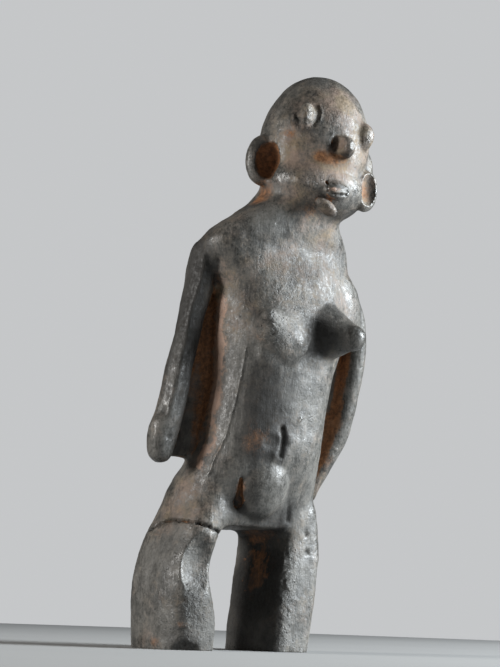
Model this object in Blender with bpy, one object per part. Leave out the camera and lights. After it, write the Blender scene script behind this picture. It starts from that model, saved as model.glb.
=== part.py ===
"""Standing female figure of fired clay, modelled by hand in one piece and worn off flat at the knees.

Frame: metres, +Z up, the face towards -Y, the figure's own left hand towards +X, and the origin on the
ground under the middle of the figure. The form grows as its maker built it: trunk, legs and head first,
then the arms with a web of clay behind each, then small lumps pressed on, then hollows pressed in.
"""

import math
from collections import namedtuple

import bmesh
import bpy
from mathutils import Matrix, Vector

# Height of the whole figure
HEIGHT = 0.400

# Pose, proportions and carving are counted in small shares of the height, about 400 from foot to crown.
# Here x is the figure's left, y its back, and the ground between the legs is nought.

# Grain of the modelled surface, and the most triangles that the finished surface takes
GRAIN = 1.8
MOST_TRIANGLES = 9500
# How often the surface is rubbed smooth after each stage
MASS_RUBS = 16
ARM_RUBS = 6
LUMP_RUBS = 2
HOLLOW_RUBS = 1

# A level slice: its height, its middle to the left and back, its full width and depth
Slice = namedtuple("Slice", "up left back width depth")
# An egg-shaped lump: its middle, half its size each way, then in degrees its turn about the upright
# axis and its lean towards the left
Lump = namedtuple("Lump", "left back up wide deep high turn lean", defaults=(0, 0))
# A breast: the middle of its root, the way it points in degrees, its length, its radius at root and tip
Breast = namedtuple("Breast", "left back up azimuth lift length root tip")
# A web: its lower and upper end, and how far back of the arm it is set at each
Web = namedtuple("Web", "low high low_back high_back")

# Trunk and neck, squarer than an ellipse
TRUNK = (
    Slice(up=84, left=5, back=1, width=110, depth=62),
    Slice(up=105, left=9, back=-1, width=111, depth=76),
    Slice(up=132, left=12, back=-12, width=95, depth=80),
    Slice(up=160, left=14, back=-16, width=92, depth=78),
    Slice(up=190, left=17, back=-20, width=92, depth=78),
    Slice(up=222, left=20, back=-24, width=102, depth=78),
    Slice(up=250, left=21, back=-24, width=108, depth=70),
    Slice(up=276, left=14, back=-25, width=124, depth=58),
    Slice(up=287, left=13, back=-29, width=112, depth=58),
    Slice(up=298, left=15, back=-33, width=87, depth=58),
    Slice(up=309, left=20, back=-36, width=66, depth=60),
    Slice(up=322, left=26, back=-40, width=56, depth=61),
)
TRUNK_SQUARENESS = 2.3
SHOULDERS = Lump(left=24, back=-21, up=262, wide=70, deep=27, high=26, lean=8)
RIGHT_BUTTOCK = Lump(left=-11, back=17, up=106, wide=25, deep=17, high=25)
LEFT_BUTTOCK = Lump(left=30, back=18, up=108, wide=25, deep=17, high=26)

# Legs, the right one rounded and the left one nearly square
RIGHT_LEG = (
    Slice(up=-6, left=-44, back=0, width=38, depth=63),
    Slice(up=24, left=-44, back=0, width=41, depth=65),
    Slice(up=52, left=-47, back=0, width=32, depth=63),
    Slice(up=76, left=-40, back=-1, width=31, depth=62),
    Slice(up=104, left=-25, back=-4, width=36, depth=56),
    Slice(up=128, left=-12, back=-8, width=30, depth=44),
)
LEFT_LEG = (
    Slice(up=-6, left=39, back=1, width=36, depth=60),
    Slice(up=24, left=42.5, back=1, width=38, depth=62),
    Slice(up=52, left=45.5, back=1, width=38, depth=63),
    Slice(up=76, left=47.5, back=1, width=35, depth=62),
    Slice(up=104, left=40, back=-3, width=38, depth=56),
    Slice(up=128, left=32, back=-8, width=30, depth=44),
)
RIGHT_LEG_SQUARENESS = 3.2
LEFT_LEG_SQUARENESS = 5

# Arms, which hang from the shoulders, each from the hand up, and the webs between them and the flanks
RIGHT_ARM = (
    Slice(up=SHOULDERS.up - 128, left=-62, back=-3, width=18, depth=18),
    Slice(up=SHOULDERS.up - 116, left=-61, back=-4, width=22, depth=20),
    Slice(up=SHOULDERS.up - 99, left=-57.5, back=-7, width=19, depth=19),
    Slice(up=SHOULDERS.up - 75, left=-54, back=-9, width=19, depth=19),
    Slice(up=SHOULDERS.up - 47, left=-48.5, back=-11, width=18, depth=18),
    Slice(up=SHOULDERS.up - 22, left=-44, back=-13, width=19, depth=21),
    Slice(up=SHOULDERS.up + 8, left=-37.5, back=-16, width=24, depth=27),
)
LEFT_ARM = (
    Slice(up=SHOULDERS.up - 150, left=73, back=0, width=12, depth=14),
    Slice(up=SHOULDERS.up - 127, left=82, back=-5, width=16, depth=18),
    Slice(up=SHOULDERS.up - 112, left=88, back=-9, width=17, depth=18),
    Slice(up=SHOULDERS.up - 83, left=92, back=-17, width=16, depth=18),
    Slice(up=SHOULDERS.up - 52, left=93, back=-23, width=16, depth=18),
    Slice(up=SHOULDERS.up - 26, left=88, back=-25, width=19, depth=22),
    Slice(up=SHOULDERS.up - 10, left=77, back=-26, width=24, depth=27),
)
ARM_SQUARENESS = 2.2
RIGHT_WEB = Web(low=SHOULDERS.up - 131, high=SHOULDERS.up, low_back=6, high_back=6)
LEFT_WEB = Web(low=SHOULDERS.up - 148, high=SHOULDERS.up - 16, low_back=1, high_back=15)
WEB_THICKNESS = 9
# The webs reach this far back of the trunk's own middle
WEB_ROOT_BACK = 10
# The chest runs into the left arm
LEFT_SHOULDER = Lump(left=64, back=-34, up=SHOULDERS.up - 20, wide=24, deep=17, high=33, turn=24, lean=-24)

# The head turns towards the right and leans towards the left shoulder
HEAD = Lump(left=32, back=-44, up=347.5, wide=39, deep=39, high=52, turn=-8, lean=7)

# On the head, each measured from its middle along its own axes
CRANIUM = Lump(left=-1, back=0, up=5, wide=HEAD.wide, deep=HEAD.deep, high=HEAD.high)
JAW = Lump(left=0, back=-4, up=-25, wide=38, deep=35, high=24)
LEFT_CHEEK = Lump(left=32, back=-6, up=-6, wide=12, deep=14, high=20)
RIGHT_EYE = Lump(left=-26.8, back=-28.2, up=17.5, wide=5.4, deep=8, high=9.5, turn=-43)
RIGHT_EYE_CORNER = Lump(left=-31.8, back=-23.5, up=14, wide=3.8, deep=6.5, high=5.5, turn=-53)
LEFT_EYE = Lump(left=19, back=-30, up=13.5, wide=8, deep=8.5, high=10.5, turn=25)
RIGHT_EAR = Lump(left=-38.5, back=1, up=-13, wide=14, deep=7, high=19, turn=-10)
LEFT_EAR = Lump(left=31.5, back=-23.4, up=-21.5, wide=11, deep=6.5, high=15, turn=18)
NOSE = Lump(left=0, back=-40, up=-0.5, wide=6.7, deep=9.5, high=7.8, lean=-20)
NOSE_BRIDGE = Lump(left=0, back=-33, up=8, wide=8, deep=5.8, high=12)
LIPS = Lump(left=0.5, back=-38, up=-31.5, wide=10, deep=5, high=6.5)
CHIN = Lump(left=-4.5, back=-35, up=-44.3, wide=9, deep=5.5, high=4.6, lean=24)
# Hollows of the head. The ear cups are set into the fronts of the ears, the nostrils into the nose
RIGHT_EAR_CUP = Lump(left=-39, back=-6, up=-14.5, wide=9.5, deep=8, high=13.5, turn=-10)
LEFT_EAR_CUP = Lump(left=32, back=-29, up=-21, wide=7.5, deep=6, high=12, turn=18)
NOSTRIL = Lump(left=7, back=-2.2, up=1, wide=3.5, deep=8, high=6.6)
MOUTH_SLIT = Lump(left=-0.5, back=-43, up=-31.5, wide=9, deep=6, high=2.2, lean=8)

# Lumps on the body
RIGHT_BREAST = Breast(left=1, back=-44, up=216, azimuth=-46, lift=18, length=36, root=27, tip=6)
RIGHT_BREAST_SAG = Lump(left=-2, back=-49, up=205, wide=17, deep=9.5, high=18)
LEFT_BREAST = Breast(left=36, back=-43, up=223, azimuth=16, lift=-10, length=44, root=27, tip=9.5)
NAVEL = Lump(left=1.5, back=-50.5, up=143, wide=3.5, deep=3, high=14, lean=10)
PUBIS = Lump(left=2, back=-34.5, up=112, wide=14.5, deep=20, high=25, turn=90, lean=-22)

# Hollows of the body: one thumbed into the right leg, one beside the navel, the fold right of the
# pubis, and a chip out of the right leg where it stands
THUMBED_SHIN = Lump(left=-49, back=-84, up=58, wide=45, deep=59, high=46)
NAVEL_HOLLOW = Lump(left=-12, back=-70, up=141, wide=26, deep=20.5, high=18)
FOLD = Lump(left=-18.5, back=-37.5, up=107, wide=7, deep=1.8, high=13, turn=60, lean=-22)
CHIP = Lump(left=-55, back=-33, up=-5, wide=20, deep=9, high=12, turn=-30)


def smooth_slices(slices, rise):
    """Slices about every `rise` of height, on a smooth curve through the given ones."""
    rows = [tuple(s) for s in slices]
    last = len(rows) - 1

    def slope(i, k):
        low, high = max(i - 1, 0), min(i + 1, last)
        return (rows[high][k] - rows[low][k]) / (rows[high][0] - rows[low][0])

    result = []
    for i in range(last):
        start, end = rows[i], rows[i + 1]
        span = end[0] - start[0]
        steps = max(1, round(span / rise))
        for step in range(steps):
            t = step / steps
            near, far = (1 + 2 * t) * (1 - t) ** 2, t * t * (3 - 2 * t)
            leave, arrive = t * (1 - t) ** 2, t * t * (t - 1)
            values = [
                near * start[k] + far * end[k] + span * (leave * slope(i, k) + arrive * slope(i + 1, k))
                for k in range(1, len(start))
            ]
            result.append(Slice(start[0] + t * span, *values))
    result.append(slices[-1])
    return result


def slice_at(slices, up):
    """The slice of a limb nearest to a height."""
    return min(smooth_slices(slices, rise=2), key=lambda level: abs(level.up - up))


def rounded_ring(level, squareness, sides=40):
    """Points around a slice. A squareness of 2 is an ellipse, and more is squarer."""
    points = []
    for i in range(sides):
        angle = 2 * math.pi * i / sides
        across, along = math.cos(angle), math.sin(angle)
        x = math.copysign(abs(across) ** (2 / squareness), across) * level.width / 2
        y = math.copysign(abs(along) ** (2 / squareness), along) * level.depth / 2
        points.append(Vector((level.left + x, level.back + y, level.up)))
    return points


def skin(bm, rings):
    """Closed surface over a stack of rings, from the lowest to the highest."""
    loops = [[bm.verts.new(point) for point in ring] for ring in rings]
    for lower, upper in zip(loops, loops[1:]):
        for i in range(len(lower)):
            j = (i + 1) % len(lower)
            bm.faces.new((lower[i], lower[j], upper[j], upper[i]))
    bm.faces.new(list(reversed(loops[0])))
    bm.faces.new(loops[-1])


def add_limb(bm, slices, squareness):
    """A mass through its slices."""
    skin(bm, [rounded_ring(level, squareness) for level in smooth_slices(slices, rise=4)])


def add_lump(bm, lump, frame=Matrix.Identity(4)):
    """An egg-shaped lump, which turns about the upright axis and then leans."""
    turn = Matrix.Rotation(math.radians(lump.turn), 4, "Z")
    lean = Matrix.Rotation(math.radians(lump.lean), 4, "Y")
    place = frame @ Matrix.Translation((lump.left, lump.back, lump.up)) @ turn @ lean
    shape = Matrix.Diagonal((lump.wide, lump.deep, lump.high, 1))
    bmesh.ops.create_uvsphere(bm, u_segments=32, v_segments=20, radius=1, matrix=place @ shape)


def add_arm(bm, slices):
    """An arm, with its hand and its shoulder rounded over."""
    add_limb(bm, slices, ARM_SQUARENESS)
    for end in (slices[0], slices[-1]):
        wide, deep = end.width / 2, end.depth / 2
        add_lump(bm, Lump(end.left, end.back, end.up, wide, deep, (wide + deep) / 2))


def add_web(bm, arm, web, steps=16):
    """The thin wall of clay between an arm and the trunk beside it."""
    rings = []
    for i in range(steps + 1):
        t = i / steps
        up = web.low + (web.high - web.low) * t
        back = Vector((0, web.low_back + (web.high_back - web.low_back) * t, 0))
        limb, flank = slice_at(arm, up), slice_at(TRUNK, up)
        hand = Vector((limb.left, limb.back, up))
        body = Vector((flank.left, flank.back + WEB_ROOT_BACK, up))
        along = (body - hand).normalized()
        across = Vector((-along.y, along.x, 0)) * WEB_THICKNESS / 2
        rings.append([point + back for point in (hand + across, hand - across, body - across, body + across)])
    skin(bm, rings)


def add_breast(bm, breast):
    """A cone that points away from the body and ends in a rounded tip."""
    turn, lift = math.radians(breast.azimuth), math.radians(breast.lift)
    way = Vector((math.sin(turn) * math.cos(lift), -math.cos(turn) * math.cos(lift), math.sin(lift)))
    root = Vector((breast.left, breast.back, breast.up))
    reach = breast.length - breast.tip
    place = Matrix.Translation(root + way * reach / 2) @ way.to_track_quat("Z", "Y").to_matrix().to_4x4()
    bmesh.ops.create_cone(
        bm, cap_ends=True, segments=32, radius1=breast.root, radius2=breast.tip, depth=reach, matrix=place
    )
    add_lump(bm, Lump(*(root + way * reach), breast.tip, breast.tip, breast.tip))


def head_frame():
    """Where the head's own axes lie: x to its left, -y the way it faces."""
    turn = Matrix.Rotation(math.radians(HEAD.turn), 4, "Z")
    lean = Matrix.Rotation(math.radians(HEAD.lean), 4, "Y")
    return Matrix.Translation((HEAD.left, HEAD.back, HEAD.up)) @ turn @ lean


def new_object(name, bm):
    """An object from a bmesh, with its faces pointing out."""
    bmesh.ops.recalc_face_normals(bm, faces=bm.faces)
    mesh = bpy.data.meshes.new(name)
    bm.to_mesh(mesh)
    bm.free()
    obj = bpy.data.objects.new(name, mesh)
    bpy.context.collection.objects.link(obj)
    return obj


def settle(obj):
    """Makes an object's modifiers part of its mesh."""
    graph = bpy.context.evaluated_depsgraph_get()
    graph.update()
    mesh = bpy.data.meshes.new_from_object(obj.evaluated_get(graph))
    obj.modifiers.clear()
    old = obj.data
    obj.data = mesh
    bpy.data.meshes.remove(old)


def knead(obj, rubs):
    """Fuses the lumps of an object into one skin and rubs the joins smooth."""
    fuse = obj.modifiers.new("fuse", "REMESH")
    fuse.mode = "VOXEL"
    fuse.voxel_size = GRAIN
    rub = obj.modifiers.new("rub", "SMOOTH")
    rub.factor = 0.5
    rub.iterations = rubs
    settle(obj)


def press_on(obj, bm):
    """Adds the lumps in a bmesh to an object, still as separate skins."""
    bm.from_mesh(obj.data)
    bmesh.ops.recalc_face_normals(bm, faces=bm.faces)
    bm.to_mesh(obj.data)
    bm.free()


def press_in(obj, bm):
    """Takes the lumps in a bmesh out of an object."""
    tool = new_object("tool", bm)
    carve = obj.modifiers.new("carve", "BOOLEAN")
    carve.operation = "DIFFERENCE"
    carve.object = tool
    settle(obj)
    bpy.data.objects.remove(tool)


def masses():
    """Trunk, legs, neck and head, kneaded into one."""
    bm = bmesh.new()
    add_limb(bm, TRUNK, TRUNK_SQUARENESS)
    add_limb(bm, RIGHT_LEG, RIGHT_LEG_SQUARENESS)
    add_limb(bm, LEFT_LEG, LEFT_LEG_SQUARENESS)
    for lump in (SHOULDERS, RIGHT_BUTTOCK, LEFT_BUTTOCK):
        add_lump(bm, lump)
    for lump in (CRANIUM, JAW):
        add_lump(bm, lump, head_frame())
    body = new_object("figure", bm)
    knead(body, MASS_RUBS)
    return body


def arms(body):
    """Both arms and their webs."""
    bm = bmesh.new()
    for arm, web in ((RIGHT_ARM, RIGHT_WEB), (LEFT_ARM, LEFT_WEB)):
        add_arm(bm, arm)
        add_web(bm, arm, web)
    add_lump(bm, LEFT_SHOULDER)
    press_on(body, bm)
    knead(body, ARM_RUBS)


def lumps(body):
    """Breasts, navel, pubis and the features of the head."""
    bm = bmesh.new()
    add_breast(bm, RIGHT_BREAST)
    add_breast(bm, LEFT_BREAST)
    for lump in (NAVEL, PUBIS, RIGHT_BREAST_SAG):
        add_lump(bm, lump)
    eyes = (RIGHT_EYE, RIGHT_EYE_CORNER, LEFT_EYE)
    ears = (RIGHT_EAR, LEFT_EAR)
    for lump in (*eyes, *ears, LEFT_CHEEK, NOSE, NOSE_BRIDGE, LIPS, CHIN):
        add_lump(bm, lump, head_frame())
    press_on(body, bm)
    knead(body, LUMP_RUBS)


def hollows(body):
    """Ear cups, nostrils, mouth, and what is pressed or broken out of the body."""
    bm = bmesh.new()
    for lump in (RIGHT_EAR_CUP, LEFT_EAR_CUP, MOUTH_SLIT):
        add_lump(bm, lump, head_frame())
    for side in (-NOSTRIL.left, NOSTRIL.left):
        hole = NOSTRIL._replace(left=NOSE.left + side, back=NOSE.back + NOSTRIL.back, up=NOSE.up + NOSTRIL.up)
        add_lump(bm, hole, head_frame())
    for lump in (THUMBED_SHIN, NAVEL_HOLLOW, FOLD, CHIP):
        add_lump(bm, lump)
    press_in(body, bm)
    knead(body, HOLLOW_RUBS)


def stand(body):
    """Cuts the legs off level where they are worn away, and brings the figure to its size and place."""
    thin = body.modifiers.new("thin", "DECIMATE")
    thin.ratio = MOST_TRIANGLES / (2 * len(body.data.polygons))
    settle(body)
    bm = bmesh.new()
    bm.from_mesh(body.data)
    whole = bm.verts[:] + bm.edges[:] + bm.faces[:]
    cut = bmesh.ops.bisect_plane(bm, geom=whole, plane_co=(0, 0, 0), plane_no=(0, 0, -1), clear_outer=True)
    rim = [item for item in cut["geom_cut"] if isinstance(item, bmesh.types.BMEdge)]
    bmesh.ops.edgeloop_fill(bm, edges=rim)
    low = Vector((min(v.co[k] for v in bm.verts) for k in range(3)))
    high = Vector((max(v.co[k] for v in bm.verts) for k in range(3)))
    middle = (low + high) / 2
    bmesh.ops.translate(bm, verts=bm.verts, vec=(-middle.x, -middle.y, -low.z))
    bmesh.ops.scale(bm, verts=bm.verts, vec=(HEIGHT / (high.z - low.z),) * 3)
    bmesh.ops.triangulate(bm, faces=bm.faces)
    bmesh.ops.recalc_face_normals(bm, faces=bm.faces)
    bm.to_mesh(body.data)
    bm.free()


def fired_clay():
    """Smoke-blackened, burnished clay."""
    material = bpy.data.materials.new("fired_clay")
    material.use_nodes = True
    shader = material.node_tree.nodes["Principled BSDF"]
    shader.inputs["Base Color"].default_value = (0.075, 0.068, 0.064, 1)
    shader.inputs["Roughness"].default_value = 0.45
    shader.inputs["Metallic"].default_value = 0.0
    return material


def main():
    for obj in list(bpy.data.objects):
        bpy.data.objects.remove(obj)
    body = masses()
    arms(body)
    lumps(body)
    hollows(body)
    stand(body)
    body.data.materials.append(fired_clay())
    body.data.shade_smooth()
    return body


if __name__ == "__main__":
    main()
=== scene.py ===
"""Looks of the standing clay figure: fine modelling, blackened and burnished clay, light, floor and camera.

The clay follows the solid it stands for, through the same masses, lumps and hollows in the same places, but
for nostrils that differ a little and a mouth that is scored in. Then it takes the finer marks: lips, creases
of the eye, lumps, scrapes, pits, the crack, crumbs and earth.
"""

import math
from collections import namedtuple

import bmesh
import bpy
import numpy as np
from mathutils import Matrix, Vector, noise
from mathutils.bvhtree import BVHTree


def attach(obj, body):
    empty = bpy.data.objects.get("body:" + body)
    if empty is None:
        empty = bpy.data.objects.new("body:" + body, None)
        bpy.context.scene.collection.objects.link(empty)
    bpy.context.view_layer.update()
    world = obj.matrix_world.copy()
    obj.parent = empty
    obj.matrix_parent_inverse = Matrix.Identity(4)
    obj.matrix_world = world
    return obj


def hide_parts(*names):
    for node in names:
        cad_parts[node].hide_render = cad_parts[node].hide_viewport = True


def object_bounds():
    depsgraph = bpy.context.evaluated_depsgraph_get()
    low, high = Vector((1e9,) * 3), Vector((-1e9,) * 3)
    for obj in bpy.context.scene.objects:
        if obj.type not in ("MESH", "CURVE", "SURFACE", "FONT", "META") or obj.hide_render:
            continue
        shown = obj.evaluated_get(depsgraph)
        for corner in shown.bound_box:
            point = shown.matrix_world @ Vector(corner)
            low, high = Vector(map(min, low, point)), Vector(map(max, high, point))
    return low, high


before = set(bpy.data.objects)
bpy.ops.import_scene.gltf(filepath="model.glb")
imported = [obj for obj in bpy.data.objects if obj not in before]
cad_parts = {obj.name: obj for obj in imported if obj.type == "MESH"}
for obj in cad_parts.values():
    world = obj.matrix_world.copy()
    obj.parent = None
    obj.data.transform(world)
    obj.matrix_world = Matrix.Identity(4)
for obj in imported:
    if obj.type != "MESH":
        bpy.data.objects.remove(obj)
cad_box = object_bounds()

# The form is counted in small units, so many from foot to crown: x to the figure's left, y to its back, and
# the ground between the legs is nought. The solid's own height says what a unit is in metres, and MIDDLE is
# the place, in units, of the solid's own origin.
UNITS_TALL = 403.7753
UNIT = (cad_box[1][2] - cad_box[0][2]) / UNITS_TALL
MIDDLE = Vector((14.66, -27.90, 0.0))

# Grain of the modelled surface, and the grain that the counts of rubs were chosen for
GRAIN = 1.0
RUBBED_GRAIN = 1.8
MOST_TRIANGLES = 190_000
MASS_RUBS = 16
ARM_RUBS = 6
LUMP_RUBS = 1
HOLLOW_RUBS = 0.6

Slice = namedtuple("Slice", "up left back width depth")
Lump = namedtuple("Lump", "left back up wide deep high turn lean", defaults=(0, 0))
Breast = namedtuple("Breast", "left back up azimuth lift length root tip")
Web = namedtuple("Web", "low high low_back high_back")

TRUNK = (
    Slice(84, 5, 1, 110, 62),
    Slice(105, 9, -1, 111, 76),
    Slice(132, 12, -12, 95, 80),
    Slice(160, 14, -16, 92, 78),
    Slice(190, 17, -20, 92, 78),
    Slice(222, 20, -24, 102, 78),
    Slice(250, 21, -24, 108, 70),
    Slice(276, 14, -25, 124, 58),
    Slice(287, 13, -29, 112, 58),
    Slice(298, 15, -33, 87, 58),
    Slice(309, 20, -36, 66, 60),
    Slice(322, 26, -40, 56, 61),
)
TRUNK_SQUARENESS = 2.3
SHOULDERS = Lump(24, -21, 262, 70, 27, 26, lean=8)
BUTTOCKS = (Lump(-11, 17, 106, 25, 17, 25), Lump(30, 18, 108, 25, 17, 26))

RIGHT_LEG = (
    Slice(-6, -44, 0, 38, 63),
    Slice(24, -44, 0, 41, 65),
    Slice(52, -47, 0, 32, 63),
    Slice(76, -40, -1, 31, 62),
    Slice(104, -25, -4, 36, 56),
    Slice(128, -12, -8, 30, 44),
)
LEFT_LEG = (
    Slice(-6, 39, 1, 36, 60),
    Slice(24, 42.5, 1, 38, 62),
    Slice(52, 45.5, 1, 38, 63),
    Slice(76, 47.5, 1, 35, 62),
    Slice(104, 40, -3, 38, 56),
    Slice(128, 32, -8, 30, 44),
)
RIGHT_LEG_SQUARENESS = 3.2
LEFT_LEG_SQUARENESS = 5

RIGHT_ARM = (
    Slice(134, -62, -3, 18, 18),
    Slice(146, -61, -4, 22, 20),
    Slice(163, -57.5, -7, 19, 19),
    Slice(187, -54, -9, 19, 19),
    Slice(215, -48.5, -11, 18, 18),
    Slice(240, -44, -13, 19, 21),
    Slice(270, -37.5, -16, 24, 27),
)
LEFT_ARM = (
    Slice(112, 73, 0, 12, 14),
    Slice(135, 82, -5, 16, 18),
    Slice(150, 88, -9, 17, 18),
    Slice(179, 92, -17, 16, 18),
    Slice(210, 93, -23, 16, 18),
    Slice(236, 88, -25, 19, 22),
    Slice(252, 77, -26, 24, 27),
)
ARM_SQUARENESS = 2.2
RIGHT_WEB = Web(131, 262, 6, 6)
LEFT_WEB = Web(114, 246, 1, 15)
WEB_THICKNESS = 9
WEB_ROOT_BACK = 10

# The head turns towards the right and leans towards the left shoulder. What is on it is measured from its
# middle along its own axes.
HEAD = Lump(32, -44, 347.5, 39, 39, 52, turn=-8, lean=7)
SKULL = (Lump(-1, 0, 5, 39, 39, 52), Lump(0, -4, -25, 38, 35, 24))
RIGHT_EYE = (Lump(-26.8, -28.2, 17.5, 5.4, 8, 9.5, turn=-43), Lump(-31.8, -23.5, 14, 3.8, 6.5, 5.5, turn=-53))
LEFT_EYE = Lump(19, -30, 13.5, 8, 8.5, 10.5, turn=25)
EARS = (Lump(-38.5, 1, -13, 14, 7, 19, turn=-10), Lump(31.5, -23.4, -21.5, 11, 6.5, 15, turn=18))
LEFT_CHEEK = Lump(32, -6, -6, 12, 14, 20)
NOSE = (Lump(0, -40, -0.5, 6.7, 9.5, 7.8, lean=-20), Lump(0, -33, 8, 8, 5.8, 12))
LIPS = Lump(0.5, -38, -31.5, 10, 5, 6.5)
CHIN = Lump(-4.5, -35, -44.3, 9, 5.5, 4.6, lean=24)
EAR_CUPS = (Lump(-39, -6, -14.5, 9.5, 8, 13.5, turn=-10), Lump(32, -29, -21, 7.5, 6, 12, turn=18))
NOSTRILS = (Lump(-7, -42.5, 0.8, 3.4, 8, 7), Lump(6.5, -42, 0, 3, 7, 6))

RIGHT_BREAST = Breast(1, -44, 216, -46, 18, 36, 27, 6)
LEFT_BREAST = Breast(36, -43, 223, 16, -10, 44, 27, 9.5)
NAVEL = Lump(1.5, -50.5, 143, 3.5, 3, 14, lean=10)
LEFT_SHOULDER = Lump(64, -34, 242, 24, 17, 33, turn=24, lean=-24)
RIGHT_BREAST_SAG = Lump(-2, -49, 205, 17, 9.5, 18)
PUBIS = Lump(2, -34.5, 112, 14.5, 20, 25, turn=90, lean=-22)
THUMBED_SHIN = Lump(-49, -84, 58, 45, 59, 46)
NAVEL_HOLLOW = Lump(-12, -70, 141, 26, 20.5, 18)
FOLD = Lump(-18.5, -37.5, 107, 7, 1.8, 13, turn=60, lean=-22)
CHIP = Lump(-55, -33, -5, 20, 9, 12, turn=-30)


# The form

def smooth_slices(slices, rise):
    """Slices about every `rise` of height, on a smooth curve through the given ones."""
    rows = [tuple(s) for s in slices]
    last = len(rows) - 1

    def slope(i, k):
        low, high = max(i - 1, 0), min(i + 1, last)
        return (rows[high][k] - rows[low][k]) / (rows[high][0] - rows[low][0])

    result = []
    for i in range(last):
        start, end = rows[i], rows[i + 1]
        span = end[0] - start[0]
        steps = max(1, round(span / rise))
        for step in range(steps):
            t = step / steps
            near, far = (1 + 2 * t) * (1 - t) ** 2, t * t * (3 - 2 * t)
            leave, arrive = t * (1 - t) ** 2, t * t * (t - 1)
            values = [
                near * start[k] + far * end[k] + span * (leave * slope(i, k) + arrive * slope(i + 1, k))
                for k in range(1, len(start))
            ]
            result.append(Slice(start[0] + t * span, *values))
    result.append(slices[-1])
    return result


def slice_at(slices, up):
    """The slice of a limb nearest to a height."""
    return min(smooth_slices(slices, rise=2), key=lambda level: abs(level.up - up))


def rounded_ring(level, squareness, sides=64):
    """Points around a slice. A squareness of 2 is an ellipse, and more is squarer."""
    points = []
    for i in range(sides):
        angle = 2 * math.pi * i / sides
        across, along = math.cos(angle), math.sin(angle)
        x = math.copysign(abs(across) ** (2 / squareness), across) * level.width / 2
        y = math.copysign(abs(along) ** (2 / squareness), along) * level.depth / 2
        points.append(Vector((level.left + x, level.back + y, level.up)))
    return points


def skin(bm, rings):
    """Closed surface over a stack of rings, from the lowest to the highest."""
    loops = [[bm.verts.new(point) for point in ring] for ring in rings]
    for lower, upper in zip(loops, loops[1:]):
        for i in range(len(lower)):
            j = (i + 1) % len(lower)
            bm.faces.new((lower[i], lower[j], upper[j], upper[i]))
    bm.faces.new(list(reversed(loops[0])))
    bm.faces.new(loops[-1])


def add_limb(bm, slices, squareness):
    """A mass through its slices."""
    skin(bm, [rounded_ring(level, squareness) for level in smooth_slices(slices, rise=3)])


def add_lump(bm, lump, place=Matrix.Identity(4)):
    """An egg-shaped lump, which turns about the upright axis and then leans."""
    turn = Matrix.Rotation(math.radians(lump.turn), 4, "Z")
    lean = Matrix.Rotation(math.radians(lump.lean), 4, "Y")
    place = place @ Matrix.Translation((lump.left, lump.back, lump.up)) @ turn @ lean
    shape = Matrix.Diagonal((lump.wide, lump.deep, lump.high, 1))
    bmesh.ops.create_uvsphere(bm, u_segments=40, v_segments=26, radius=1, matrix=place @ shape)


def add_arm(bm, slices):
    """An arm, with its hand and its shoulder rounded over."""
    add_limb(bm, slices, ARM_SQUARENESS)
    for end in (slices[0], slices[-1]):
        wide, deep = end.width / 2, end.depth / 2
        add_lump(bm, Lump(end.left, end.back, end.up, wide, deep, (wide + deep) / 2))


def add_web(bm, arm, web, steps=32):
    """The thin wall of clay between an arm and the trunk beside it."""
    rings = []
    for i in range(steps + 1):
        t = i / steps
        up = web.low + (web.high - web.low) * t
        back = Vector((0, web.low_back + (web.high_back - web.low_back) * t, 0))
        limb, flank = slice_at(arm, up), slice_at(TRUNK, up)
        hand = Vector((limb.left, limb.back, up))
        body = Vector((flank.left, flank.back + WEB_ROOT_BACK, up))
        along = (body - hand).normalized()
        across = Vector((-along.y, along.x, 0)) * WEB_THICKNESS / 2
        rings.append([point + back for point in (hand + across, hand - across, body - across, body + across)])
    skin(bm, rings)


def add_breast(bm, breast):
    """A cone that points away from the body and ends in a rounded tip."""
    turn, lift = math.radians(breast.azimuth), math.radians(breast.lift)
    way = Vector((math.sin(turn) * math.cos(lift), -math.cos(turn) * math.cos(lift), math.sin(lift)))
    root = Vector((breast.left, breast.back, breast.up))
    reach = breast.length - breast.tip
    place = Matrix.Translation(root + way * reach / 2) @ way.to_track_quat("Z", "Y").to_matrix().to_4x4()
    bmesh.ops.create_cone(
        bm, cap_ends=True, segments=48, radius1=breast.root, radius2=breast.tip, depth=reach, matrix=place
    )
    add_lump(bm, Lump(*(root + way * reach), breast.tip, breast.tip, breast.tip))


def head_place():
    """Where the head's own axes lie: x to its left, -y the way it faces."""
    turn = Matrix.Rotation(math.radians(HEAD.turn), 4, "Z")
    lean = Matrix.Rotation(math.radians(HEAD.lean), 4, "Y")
    return Matrix.Translation((HEAD.left, HEAD.back, HEAD.up)) @ turn @ lean


def new_object(name, bm):
    """An object from a bmesh, with its faces pointing out."""
    bmesh.ops.recalc_face_normals(bm, faces=bm.faces)
    mesh = bpy.data.meshes.new(name)
    bm.to_mesh(mesh)
    bm.free()
    obj = bpy.data.objects.new(name, mesh)
    bpy.context.scene.collection.objects.link(obj)
    return obj


def settle(obj):
    """Makes an object's modifiers part of its mesh."""
    graph = bpy.context.evaluated_depsgraph_get()
    graph.update()
    mesh = bpy.data.meshes.new_from_object(obj.evaluated_get(graph))
    obj.modifiers.clear()
    old = obj.data
    obj.data = mesh
    bpy.data.meshes.remove(old)


def knead(obj, rubs):
    """Fuses the lumps of an object into one skin and rubs the joins smooth."""
    fuse = obj.modifiers.new("fuse", "REMESH")
    fuse.mode = "VOXEL"
    fuse.voxel_size = GRAIN
    rub = obj.modifiers.new("rub", "SMOOTH")
    rub.factor = 0.5
    rub.iterations = max(1, round(rubs * (RUBBED_GRAIN / GRAIN) ** 2))
    settle(obj)


def press_on(obj, bm):
    """Adds the lumps in a bmesh to an object, still as separate skins."""
    bm.from_mesh(obj.data)
    bmesh.ops.recalc_face_normals(bm, faces=bm.faces)
    bm.to_mesh(obj.data)
    bm.free()


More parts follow.
